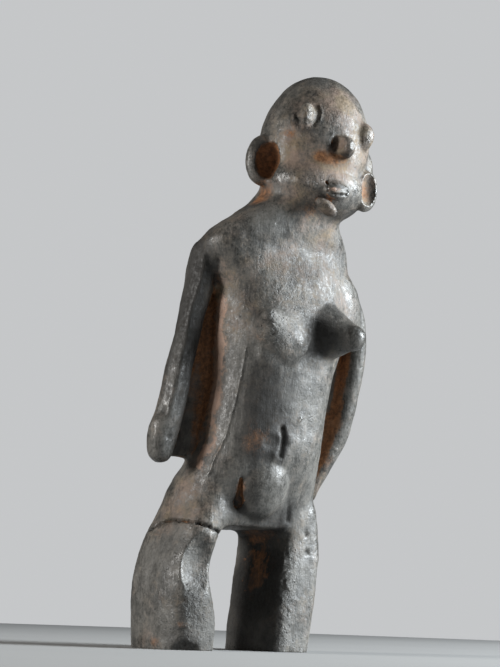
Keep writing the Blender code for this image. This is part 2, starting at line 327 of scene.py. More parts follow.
def press_in(obj, bm):
    """Takes the lumps in a bmesh out of an object."""
    tool = new_object("tool", bm)
    carve = obj.modifiers.new("carve", "BOOLEAN")
    carve.operation = "DIFFERENCE"
    carve.object = tool
    settle(obj)
    bpy.data.objects.remove(tool)


def model_figure():
    """The whole figure in units: masses, arms, lumps, then hollows."""
    bm = bmesh.new()
    add_limb(bm, TRUNK, TRUNK_SQUARENESS)
    add_limb(bm, RIGHT_LEG, RIGHT_LEG_SQUARENESS)
    add_limb(bm, LEFT_LEG, LEFT_LEG_SQUARENESS)
    for lump in (SHOULDERS, *BUTTOCKS):
        add_lump(bm, lump)
    for lump in SKULL:
        add_lump(bm, lump, head_place())
    body = new_object("clay_figure", bm)
    knead(body, MASS_RUBS)

    bm = bmesh.new()
    for arm, web in ((RIGHT_ARM, RIGHT_WEB), (LEFT_ARM, LEFT_WEB)):
        add_arm(bm, arm)
        add_web(bm, arm, web)
    add_lump(bm, LEFT_SHOULDER)
    press_on(body, bm)
    knead(body, ARM_RUBS)

    bm = bmesh.new()
    add_breast(bm, RIGHT_BREAST)
    add_breast(bm, LEFT_BREAST)
    for lump in (NAVEL, PUBIS, RIGHT_BREAST_SAG):
        add_lump(bm, lump)
    for lump in (*RIGHT_EYE, LEFT_EYE, *EARS, LEFT_CHEEK, *NOSE, LIPS, CHIN):
        add_lump(bm, lump, head_place())
    press_on(body, bm)
    knead(body, LUMP_RUBS)

    bm = bmesh.new()
    for lump in (*EAR_CUPS, *NOSTRILS):
        add_lump(bm, lump, head_place())
    for lump in (THUMBED_SHIN, NAVEL_HOLLOW, FOLD, CHIP):
        add_lump(bm, lump)
    press_in(body, bm)
    knead(body, HOLLOW_RUBS)
    return body


# The finer marks

def on_head(left, back, up):
    """A place on the head, in the figure's own units."""
    return head_place() @ Vector((left, back, up))


def head_path(*places):
    """A path over the head, in the figure's own units."""
    return [on_head(*place) for place in places]


# A mark that stands out or goes in: where, how far it spreads and how high it stands
Dab = namedtuple("Dab", "at spread high")
# A line scored in, or a ridge where it is negative: its points, its width and its depth
Score = namedtuple("Score", "path width depth")

DABS = (
    # Lumps of the cheek ridge, beside the ear and by the mouth
    Dab(on_head(-25.7, -28.2, -28.8), 3.2, 1.6),
    Dab(on_head(-21.5, -31.2, -30.5), 3.0, 1.4),
    Dab(on_head(-17.0, -33.5, -31.5), 2.6, 1.0),
    Dab(on_head(-12.4, -32.0, -39.6), 3.2, 1.4),
    Dab(on_head(-33.3, -19.7, -4.9), 3.0, 0.9),
    Dab(on_head(-29.7, -24.6, -5.5), 2.4, 0.7),
    # Rim of the nostril
    Dab(on_head(-12.8, -36.1, -4.5), 2.6, 1.6),
    Dab(on_head(-10.3, -36.3, -8.1), 3.4, 1.2),
    # Wrist and hand
    Dab(Vector((-69.5, -8, 150)), 6.0, 1.2),
    Dab(Vector((-66, -11, 160)), 3.0, -2.0),
    Dab(Vector((-62.8, -13.2, 143.2)), 2.2, -1.0),
    # Beside the navel, on the right breast, in the groin and on the left leg
    Dab(Vector((6.5, -53.5, 141)), 4.5, -1.0),
    Dab(Vector((-25.5, -64.0, 219.0)), 4.5, -2.6),
    Dab(Vector((-22.0, -67.1, 213.8)), 2.0, -1.2),
    Dab(Vector((-17.5, -33.0, 99.0)), 7.0, -3.0),
    Dab(Vector((47.9, -30.1, 81.5)), 1.5, -1.4),
    Dab(Vector((48.9, -30.0, 69.7)), 1.7, -1.6),
    # Crumbs of earth in the left arm's slot and under the right leg
    Dab(Vector((81.2, -12.9, 164.4)), 3.0, 2.2),
    Dab(Vector((-62.1, -6.0, 4.6)), 2.0, 1.0),
    Dab(Vector((-57.8, -28.7, 16.7)), 2.0, 0.9),
)
CRACK = (
    (-49.0, 24.0, 79.0), (-53.3, 14.8, 82.1), (-52.3, 9.4, 85.1), (-51.5, -0.3, 87.1), (-51.3, -8.7, 87.4),
    (-51.2, -18.3, 87.0), (-49.8, -25.9, 86.6), (-45.3, -30.5, 85.1), (-39.3, -31.2, 82.7),
    (-33.3, -30.9, 81.0), (-28.5, -29.0, 79.0), (-26.0, -20.0, 78.5),
)
FLANK = (
    (-31.5, -26, 238), (-30, -24, 219), (-29, -22, 198),
    (-30, -21, 170), (-33, -20, 150), (-38, -18, 128),
)
BELLY_RIDGE = (
    (-23.1, -44.2, 204.5), (-23.4, -41.1, 188.2), (-26.2, -37.2, 164.9),
    (-29.0, -33.6, 146.0), (-32.9, -27.8, 130.9), (-36.3, -25.1, 118.9),
)
RIGHT_ARM_CREST = (
    (-46, -24.5, 268), (-48, -23, 250), (-52.5, -19, 230),
    (-55, -18, 208), (-60, -16.5, 181), (-64, -14, 160),
)
NAVEL_CREASE = ((3.6, -54.1, 151.5), (5.0, -53.6, 147), (5.6, -53.3, 141), (4.6, -52.0, 133))
NAVEL_RIDGE = ((18.8, -54.9, 160.2), (11.8, -56.7, 152.3), (9.5, -55.5, 145.5))
RIGHT_ARMPIT = ((-40.2, -31.5, 268), (-40.0, -31.5, 262), (-38.5, -28.6, 256), (-36.2, -24.9, 250))
LEFT_GROIN = ((23, -38, 114), (24.7, -34.4, 103.2), (30, -30.9, 91.1))
# The lips run above and below the worn strip between them
UPPER_LIP = head_path((-9.1, -37.8, -27.4), (-4.7, -40.5, -29.3), (1.8, -41.2, -29.9), (7.0, -41.0, -30.2))
LOWER_LIP = head_path((-8.0, -38.8, -34.0), (-3.8, -40.8, -35.0), (0.5, -41.5, -34.6), (5.5, -41.2, -33.4))
MOUTH_CORNER = head_path((-9.1, -37.8, -27.4), (-8.6, -38.8, -31.0))
# Creases at both sides of the right eye pellet, and the loose flap of clay at its inner side
INNER_EYE = head_path((-20.8, -28.5, 28.0), (-20.0, -31.5, 21.9), (-21.3, -32.6, 13.4), (-25.6, -30.6, 7.5))
EYE_FLAP = head_path((-18.9, -30.0, 27.0), (-17.6, -32.3, 21.5), (-18.6, -33.5, 15.5))
OUTER_EYE = head_path((-33.5, -28.5, 21.0), (-35.0, -28.0, 15.0), (-31.0, -29.8, 8.5))

SCORES = (
    Score(CRACK, 1.0, 4.5),
    Score(UPPER_LIP, 0.9, 1.8),
    Score(LOWER_LIP, 0.9, 2.0),
    Score(MOUTH_CORNER, 0.9, 1.2),
    Score(INNER_EYE, 0.6, 0.2),
    Score(EYE_FLAP, 1.0, -0.45),
    Score(OUTER_EYE, 0.9, 0.9),
    Score(NAVEL_CREASE, 1.9, 2.4),
    Score(NAVEL_RIDGE, 1.2, -1.3),
    Score(RIGHT_ARMPIT, 2.0, 2.0),
    Score(LEFT_GROIN, 2.2, 1.8),
    Score(RIGHT_ARM_CREST, 2.6, -1.0),
    Score(FLANK, 2.4, -0.9),
    Score(BELLY_RIDGE, 0.9, -0.7),
)
# On the head, where the clay is lumpier: both eyes, chin and nose, and how far each spreads
LUMPY = (
    ((-28, -29, 17), (7, 7, 8)),
    ((20, -32, 13), (7, 7, 9)),
    ((-4.5, -36, -45), (8, 6, 5)),
    ((0, -45, -1), (9, 9, 9)),
)
# How far the crack strays from its path, and how far any other line does
CRACK_STRAY = 0.9
LINE_STRAY = 0.35


def smooth_random(points, size, octaves=1, seed=0, stretch=1.0):
    """Smooth random values, mostly from -1 to 1, which change over `size`, and over more of it upwards."""
    steps = points / (size * np.array((1, 1, stretch))) + 11.7 * (seed + 1)
    return np.array([noise.fractal(p, 1.0, 2.0, octaves) for p in steps.tolist()])


def random_pits(points, size, share, seed=0):
    """Round pits, from 0 to 1 deep, in cells of a size, of which a share has one."""
    steps = points / size + 5.3 * (seed + 1)
    near = [noise.voronoi(p) for p in steps.tolist()]
    distance = np.array([d[0] for d, spots in near])
    spot = np.array([tuple(spots[0]) for d, spots in near])
    chance = np.sin(spot @ np.array((12.9898, 78.233, 37.719)) + seed) * 43758.5453
    chance -= np.floor(chance)
    radius = 0.18 + 0.22 * chance / max(share, 1e-6)
    return np.where(chance < share, np.clip(1 - (distance / radius) ** 2, 0, 1), 0)


def near_path(points, path):
    """How far points are from a path of straight stretches."""
    best = np.full(len(points), 1e9)
    for a, b in zip(path, path[1:]):
        a, b = np.array(a, float), np.array(b, float)
        along = np.clip(((points - a) @ (b - a)) / ((b - a) @ (b - a)), 0, 1)
        best = np.minimum(best, np.linalg.norm(points - a - along[:, None] * (b - a), axis=1))
    return best


def beside(points, path, width):
    """1 on a path, falling off over a width to both sides."""
    return np.exp(-(near_path(points, path) / width) ** 2)


def around(points, at, spread):
    """1 at a place, falling off over a spread."""
    return np.exp(-(((points - np.array(at)) / np.array(spread)) ** 2).sum(1))


def between(values, low, high):
    """0 below low, 1 above high and smooth between."""
    t = np.clip((values - low) / (high - low), 0, 1)
    return t * t * (3 - 2 * t)


def corners(mesh):
    """Where a mesh's corners are."""
    points = np.empty(len(mesh.vertices) * 3)
    mesh.vertices.foreach_get("co", points)
    return points.reshape(-1, 3)


def facing(mesh):
    """Which way a mesh faces at each corner."""
    ways = np.empty(len(mesh.vertices) * 3)
    mesh.vertex_normals.foreach_get("vector", ways)
    return ways.reshape(-1, 3)


def evened(mesh, values, times):
    """Values at a mesh's corners, each spread among its neighbours a number of times."""
    ends = np.empty(len(mesh.edges) * 2, dtype=np.int32)
    mesh.edges.foreach_get("vertices", ends)
    a, b = ends.reshape(-1, 2).T
    count = len(mesh.vertices)
    degree = np.bincount(a, minlength=count) + np.bincount(b, minlength=count)
    for _ in range(times):
        columns = [np.bincount(a, v[b], count) + np.bincount(b, v[a], count) for v in values.T]
        total = np.stack(columns, axis=1)
        values = (values + total / degree[:, None]) / 2
    return values


def refine(obj):
    """Finer grain along the crack and about the mouth, the right eye and the nose."""
    bm = bmesh.new()
    bm.from_mesh(obj.data)
    points = np.array([v.co for v in bm.verts])
    close = near_path(points, CRACK) < 3.5
    for at, reach in ((on_head(0, -40, -31), 13), (on_head(-23, -36, 15), 13), (on_head(-3, -46, 0), 12)):
        close |= np.linalg.norm(points - np.array(at), axis=1) < reach
    edges = [e for e in bm.edges if close[e.verts[0].index] and close[e.verts[1].index]]
    bmesh.ops.subdivide_edges(bm, edges=edges, cuts=1, use_grid_fill=True)
    bmesh.ops.triangulate(bm, faces=bm.faces)
    bm.to_mesh(obj.data)
    bm.free()


def mark(obj):
    """Presses the finer marks into the surface."""
    mesh = obj.data
    points, ways = corners(mesh), facing(mesh)
    head = between(points[:, 2], 300, 320)
    legs = 1 - between(points[:, 2], 60, 95)
    chest = around(points, (5, -55, 245), (38, 30, 34))
    right_breast = around(points, (-18, -66, 219), (14, 14, 16))
    shin = around(points, (-46, -30, 22), (20, 16, 26))
    coarse = 0.35 + 0.3 * chest + 0.9 * right_breast + 0.9 * shin + 0.1 * legs - 0.1 * head
    depth = 0.55 * smooth_random(points, 22, 2, 1) + 0.22 * smooth_random(points, 8, 2, 2)
    depth += 0.30 * coarse * smooth_random(points, 3.0, 3, 3)
    depth += (1 - 0.7 * head) * 0.11 * smooth_random(points, 2.4, 2, 4, stretch=9)
    depth -= between(coarse, 0.7, 1.3) * 0.8 * random_pits(points, 5.5, 0.2, 1)
    depth += 1.0 * shin * smooth_random(points, 5, 3, 8)
    depth += 1.1 * around(points, (31, -28, 48), (3.5, 5, 46)) * smooth_random(points, 4, 3, 9)
    for at, spread in LUMPY:
        depth += 0.75 * around(points, on_head(*at), spread) * smooth_random(points, 2.8, 3, 10)
    depth += 0.6 * right_breast * smooth_random(points, 4, 3, 11)
    for dab in DABS:
        depth += dab.high * around(points, dab.at, (dab.spread,) * 3)
    wander = np.stack([smooth_random(points, 4.0, 3, seed) for seed in (5, 6, 7)], axis=1)
    for score in SCORES:
        stray = CRACK_STRAY if score.path is CRACK else LINE_STRAY
        depth -= score.depth * beside(points + stray * wander, score.path, score.width)
    points = points + ways * depth[:, None]
    mesh.vertices.foreach_set("co", points.ravel())
    mesh.update()


def stand(obj):
    """Thins the plain stretches, cuts the legs off level, and brings the figure to its size and place."""
    triangles = sum(len(p.vertices) - 2 for p in obj.data.polygons)
    thin = obj.modifiers.new("thin", "DECIMATE")
    thin.ratio = min(1, MOST_TRIANGLES / triangles)
    settle(obj)
    bm = bmesh.new()
    bm.from_mesh(obj.data)
    whole = bm.verts[:] + bm.edges[:] + bm.faces[:]
    cut = bmesh.ops.bisect_plane(bm, geom=whole, plane_co=(0, 0, 0), plane_no=(0, 0, -1), clear_outer=True)
    rim = [item for item in cut["geom_cut"] if isinstance(item, bmesh.types.BMEdge)]
    bmesh.ops.edgeloop_fill(bm, edges=rim)
    bmesh.ops.triangulate(bm, faces=bm.faces)
    bmesh.ops.recalc_face_normals(bm, faces=bm.faces)
    low, high = (Vector(corner) / UNIT + MIDDLE for corner in cad_box)
    for v in bm.verts:
        v.co = (Vector(max(low[k], min(high[k], v.co[k])) for k in range(3)) - MIDDLE) * UNIT
    bm.to_mesh(obj.data)
    bm.free()
    obj.data.shade_smooth()


# Where earth, wear and soot lie, and where shade and light are painted on

# Patches of each mask: where one lies, how far it spreads, and how much it adds, or takes where negative.
# Reddish earth lies where the hand can't reach: webs, cups of the ears, below the nose, armpits, crotch.
EARTH_PATCHES = (
    (on_head(-11, -36, -9.2), (12, 8, 4.2), 1.0),
    (on_head(-4, -40, -12), (9, 7, 4.5), 0.5),
    (on_head(-37, 0, -13), (11, 9, 13), 0.8),
    (on_head(-37, -1, -40), (9, 9, 13), 0.75),
    (on_head(-14, -22, -47), (14, 12, 6), 0.4),
    (on_head(-32, -20, 4), (7, 7, 4), 0.55),
    ((81, -13, 164), (7, 9, 9), 0.9),
    ((78, -8, 140), (8, 10, 16), 0.45),
    ((-34, -10, 212), (8, 8, 42), 0.6),
    ((-32, -12, 165), (8, 9, 30), 0.45),
    ((-15, -46, 143), (13, 8, 12), 0.42),
    (on_head(-7, -43, 1), (5, 5, 8), -1.2),
    (on_head(31, -27.5, -22), (4.6, 6, 7.6), 0.35),
    ((-18.5, -37, 111), (3, 5, 7), 0.8),
    ((-26, -56, 208), (7, 8, 9), 0.55),
    ((-51, 3, 78), (6, 9, 5), 0.5),
    ((-62, -6, 5), (6, 6, 4), 0.5),
    ((-57.8, -28.7, 16.7), (4, 4, 3), 0.35),
    ((14, -20, 86), (26, 26, 7), 0.2),
)
# Tan clay shows where the black has worn thin; four patches on the face are painted light instead
TAN_AND_LIGHT_PATCHES = (
    ((4, -56, 262), (30, 20, 16), 0.14),
    ((14, -56, 236), (16, 16, 34), 0.15),
    ((-26, -32, 236), (14, 18, 30), 0.4),
    ((-31, -20, 195), (3.6, 6, 56), 1.6),
    ((-37, -14, 128), (9, 10, 22), 0.3),
    ((30, -56, 292), (20, 20, 14), 0.5),
    ((-42, -8, 112), (16, 24, 18), 0.28),
    ((-60, 0, 60), (10, 26, 28), 0.05),
    (on_head(-8, -37, -13), (14, 9, 8), 1.1),
    (on_head(14, -36, -6), (20, 14, 26), 0.3),
    (on_head(-30, -22, 6), (14, 16, 18), 0.35),
    (on_head(-31, -20, -13), (5, 7, 12), 0.6),
    (on_head(-4.2, -40, 0), (2.0, 5, 6), 0.9),
    # Painted light: these four lighten the right cheek, jaw, chin and forehead, the side of the face away
    # from the key lamp, where fill light falls
    (on_head(-24, -30, -14), (10, 10, 14), 0.4),
    (on_head(-24, -23, -40), (14, 12, 12), 0.35),
    (on_head(-4, -36, -45), (8, 8, 6), 0.5),
    (on_head(-10, -32, 36), (18, 16, 12), 0.35),
    (on_head(-2, -40, -20), (13, 9, 8), 0.45),
    (on_head(31, -27.5, -22), (4.6, 6, 7.6), 1.5),
    (on_head(4, -30, 22), (36, 20, 26), 0.42),
    ((-20, -44, 262), (30, 16, 24), 0.2),
    ((74, 0, 120), (10, 12, 18), 0.5),
    ((52, -52, 235), (14, 16, 20), 0.5),
    ((-48, -12, 92), (14, 26, 12), 0.4),
    ((50, -30, 270), (20, 16, 26), 0.4),
)
COARSE_PATCHES = (
    ((5, -55, 245), (36, 26, 34), 0.5),
    ((-18, -66, 219), (16, 16, 18), 0.8),
    ((-46, -30, 24), (22, 18, 28), 0.9),
    ((30, -29, 40), (8, 10, 60), 0.6),
    (on_head(-12, -36, -34), (20, 16, 14), 0.45),
    (on_head(-28, -29, 17), (8, 8, 9), 0.8),
    (on_head(20, -32, 13), (8, 8, 10), 0.5),
)
WORN_PATCHES = (
    ((-18, -66, 225), (7, 8, 9), 1.0),
    ((14, -56, 153), (8, 6, 9), 0.8),
    ((33, -28, 45), (4, 6, 42), 0.8),
    ((-39, -31, 32), (5, 6, 14), 0.8),
    ((-30, -32, 70), (7, 7, 12), 0.6),
    ((-50, -22, 240), (5, 6, 34), 0.7),
    ((88, -18, 190), (6, 10, 60), 0.5),
    (on_head(-27, -31, 18), (6, 6, 8), 0.5),
)
# Soot, and painted shade where shadow falls: the left breast's side, the inside of the left leg, the right
# arm's inner face, under the nose and chin, the crotch and the navel's crease
SOOT_AND_SHADE_PATCHES = (
    ((4.6, -53, 141), (4.0, 7, 11), 1.9),
    ((-6, -47, 134), (15, 7, 5), 0.8),
    ((14, -38, 92), (14, 10, 6), 0.5),
    ((26, 0, 60), (6, 40, 60), 1.5),
    ((-15, -33, 97), (8, 6, 8), 0.8),
    (on_head(0.5, -43, -7.8), (7, 7, 3.0), 1.4),
    ((8, -33, 88), (16, 6, 5), 0.7),
    ((-17, -38, 104), (5, 6, 14), 0.6),
    ((-54, -30, 3), (15, 9, 6), 0.7),
    ((-46, -31, 22), (16, 8, 18), 0.55),
    ((30, -34, 90), (7, 8, 12), 0.6),
    (on_head(-9, -43, 1), (5, 6, 6), 0.9),
    (on_head(-7, -34, -50), (11, 8, 2.5), 0.7),
    (on_head(-44, 0, -10), (6, 7, 12), 0.7),
    (on_head(0, -6, 60), (30, 30, 20), 0.35),
    ((4, -58, 262), (26, 18, 16), 0.28),
    ((36, -50, 262), (14, 16, 22), 0.2),
    ((-56, -8, 60), (14, 24, 34), 0.2),
    ((-46, -17, 205), (5, 8, 60), 0.9),
    ((24, -60, 214), (10, 12, 12), 0.8),
    (on_head(-26.5, -30, 6.5), (8, 6, 2.0), 0.7),
    (on_head(-35.5, -27, 14), (1.8, 5, 7), 0.6),
    (on_head(-1.5, -40.8, -35), (8, 3, 1.2), 0.7),
    (on_head(0.0, -40.8, -29.6), (8, 3, 1.1), 0.8),
    (on_head(-12.5, -32, -44), (2.5, 6, 4), 0.6),
    ((25, -66, 217), (11, 15, 15), 1.3),
    (on_head(31, -27, -22), (6, 7, 9), -1.2),
    ((-4, -50, 160), (20, 12, 22), 0.35),
    ((-21.5, -58, 228), (3.6, 9, 8), 1.0),
    ((-8, -50, 172), (20, 14, 30), 0.8),
    ((-50, -20, 215), (10, 12, 70), 0.75),
    ((-46, -24, 262), (12, 12, 24), 0.5),
    ((-54, -8, 190), (8, 9, 70), 0.9),
    ((-14, -48, 143), (14, 8, 13), 0.75),
    ((-57, -18, 190), (8, 6, 70), 0.2),
)
# Bare clay shows between the lips, in the left ear's cup and below the nose
BARE_PATCHES = (
    (on_head(-4.5, -40.5, -32.0), (5.5, 5, 1.9), 1.0),
    (on_head(31, -27.5, -22), (4.6, 6, 7.6), 0.45),
    (on_head(-7, -39, -15), (9, 6, 3.5), 0.5),
)

# In metres, how far off other clay still shelters a corner, and how far off the surface a ray starts
SHELTER_REACH = 0.07
RAY_START = 0.0006
GOLDEN_ANGLE = 2.399963


def shelter(obj, rays=12):
    """How far each corner of a mesh is shut in by the rest of it, from 0 in the open to 1."""
    mesh = obj.data
    points, ways = corners(mesh), facing(mesh)
    tree = BVHTree.FromObject(obj, bpy.context.evaluated_depsgraph_get())
    spiral = []
    for i in range(rays):
        up = math.sqrt(1 - (i + 0.5) / rays)
        out, turn = math.sqrt(1 - up * up), i * GOLDEN_ANGLE
        spiral.append((out * math.cos(turn), out * math.sin(turn), up))
    side = np.cross(ways, np.where(np.abs(ways[:, 2:]) < 0.9, (0.0, 0.0, 1.0), (1.0, 0.0, 0.0)))
    side /= np.linalg.norm(side, axis=1)[:, None]
    other = np.cross(ways, side)
    start = (points + ways * RAY_START).tolist()
    hits = np.zeros(len(points))
    for a, b, c in spiral:
        to = (side * a + other * b + ways * c).tolist()
        hits += [tree.ray_cast(s, d, SHELTER_REACH)[0] is not None for s, d in zip(start, to)]
    return hits / rays


def patched(values, points, patches, share=1.0):
    """Values with patches added, each by a share."""
    for at, spread, much in patches:
        values = values + much * around(points, at, spread) * share
    return values


def lay_masks(obj):
    """Stores at each corner its earth, tan clay and painted light, coarse clay, wear, soot and painted shade,
    and bare clay and painted highlight.
    """
    mesh = obj.data
    points = corners(mesh) / UNIT + np.array(MIDDLE)
    ways = facing(mesh)
    fine = ((evened(mesh, points, 12) - points) * ways).sum(1)
    broad = ((evened(mesh, points, 160) - points) * ways).sum(1)
    shut = shelter(obj)
    cloud = smooth_random(points, 26, 3, 21)
    blotch = smooth_random(points, 9, 3, 22)
    flank = beside(points, FLANK, 8.5)

    earth = between(shut, 0.42, 0.72) * 0.9 + 0.35 * between(broad, 0.8, 3.0)
    earth = patched(earth, points, EARTH_PATCHES) * (0.85 + 0.5 * blotch)
    earth *= 1 - beside(points, CRACK, 5.0)
    earth *= 1 - 0.6 * flank
    tan_and_painted_light = patched(0.14 + 0.26 * cloud + 0.18 * blotch, points, TAN_AND_LIGHT_PATCHES)
    coarse = patched(0.15 + 0.4 * smooth_random(points, 12, 2, 23), points, COARSE_PATCHES)
    worn = patched(between(-fine, 0.03, 0.35), points, WORN_PATCHES, 0.6 + 0.8 * blotch)
    # Soot and painted shade: darker in creases and where other clay shuts a corner in, and darker still in
    # the patches
    soot_and_shade = between(fine, 0.12, 0.8) * 0.8 + 0.5 * between(shut, 0.55, 0.85)
    soot_and_shade = patched(soot_and_shade, points, SOOT_AND_SHADE_PATCHES) + beside(points, CRACK, 1.7)
    soot_and_shade *= 1 - 0.8 * flank
    bare_and_highlight = patched(np.zeros(len(points)), points, BARE_PATCHES)
    # Along the belly's ridge, a painted highlight: a thin light line in the bare clay colour
    bare_and_highlight += flank * (0.75 + 0.8 * blotch) + 0.42 * beside(points, BELLY_RIDGE, 1.2)

    masks = {"earth": earth, "tan_and_painted_light": tan_and_painted_light, "coarse": coarse, "worn": worn, "soot_and_shade": soot_and_shade, "bare_and_highlight": bare_and_highlight}
    for name, values in masks.items():
        layer = mesh.attributes.new(name, "FLOAT", "POINT")
        layer.data.foreach_set("value", np.clip(values, 0, 1).astype(np.float32))


# Clay, as nodes

class Nodes:
    """Short names for the nodes of one material."""

    def __init__(self, name):
        self.material = bpy.data.materials.new(name)
        self.material.use_nodes = True
        self.tree = self.material.node_tree
        self.shader = self.tree.nodes["Principled BSDF"]
        self.place = self.tree.nodes.new("ShaderNodeTexCoord").outputs["Object"]

    def add(self, kind, values=(), **settings):
        """A node with its settings. Its inputs, by name or number, are values or other nodes' outputs."""
        node = self.tree.nodes.new(kind)
        for key, value in settings.items():
            setattr(node, key, value)
        for key, value in dict(values).items():
            self.join(value, node.inputs[key])
        return node

    def join(self, value, socket):
        """Links a node's output to a socket, or sets a plain value on it."""
        if isinstance(value, bpy.types.NodeSocket):
            self.tree.links.new(value, socket)
        else:
            socket.default_value = value

    def cloudy(self, size, detail=3, roughness=0.55, stretch=None):
        """Noise that changes over a size in metres, and is longer where stretched."""
        place = self.place
        if stretch:
            place = self.add("ShaderNodeMapping", {"Vector": place, "Scale": stretch}).outputs[0]
        values = {"Vector": place, "Scale": 1 / size, "Detail": detail, "Roughness": roughness}
        return self.add("ShaderNodeTexNoise", values).outputs["Fac"]

    def spots(self, size):
        """Distance to the nearest spot, and that spot's own random value."""
        node = self.add("ShaderNodeTexVoronoi", {"Vector": self.place, "Scale": 1 / size})
        split = self.add("ShaderNodeSeparateColor", {0: node.outputs["Color"]})
        return node.outputs["Distance"], split.outputs[0]

    def mask(self, name):
        """What the mesh stores under a name."""
        return self.add("ShaderNodeAttribute", attribute_name=name).outputs["Fac"]

    def math(self, operation, *values):
        return self.add("ShaderNodeMath", dict(enumerate(values)), operation=operation).outputs[0]

    def plus(self, a, b):
        return self.math("ADD", a, b)

    def times(self, a, b):
        return self.math("MULTIPLY", a, b)

    def mixed(self, *parts):
        """A sum of noises, each less its middle value and times its share."""
        total = None
        for value, share in parts:
            part = self.math("MULTIPLY_ADD", value, share, -0.5 * share)
            total = part if total is None else self.plus(total, part)
        return total

    def ease(self, value, low, high, to_low=0.0, to_high=1.0):
        """From to_low to to_high, smoothly, as a value goes from low to high."""
        values = {"Value": value, "From Min": low, "From Max": high, "To Min": to_low, "To Max": to_high}
        return self.add("ShaderNodeMapRange", values, interpolation_type="SMOOTHSTEP").outputs[0]

    def blend(self, much, a, b):
        """Colour a, and b by how much."""
        node = self.add("ShaderNodeMix", data_type="RGBA")
        for value, socket in ((much, node.inputs[0]), (a, node.inputs[6]), (b, node.inputs[7])):
            self.join((*value, 1) if isinstance(value, tuple) else value, socket)
        return node.outputs[2]


# Colours of the clay, the first four from dark to light
SMOKE = (0.034, 0.033, 0.030), (0.122, 0.117, 0.107)
PINK = (0.135, 0.096, 0.073), (0.225, 0.162, 0.124)
OCHRE = (0.120, 0.089, 0.056), (0.205, 0.150, 0.096)
SOIL = (0.085, 0.038, 0.016), (0.270, 0.128, 0.058)
# Bare clay, and the painted highlight along the belly's ridge
BARE_CLAY_AND_HIGHLIGHT = (0.30, 0.20, 0.15)
GRIT = (0.30, 0.28, 0.255)
# The black of soot, of painted shade in creases and shadowed places, and of the pits
SOOT_AND_SHADE_BLACK = (0.012, 0.011, 0.010)


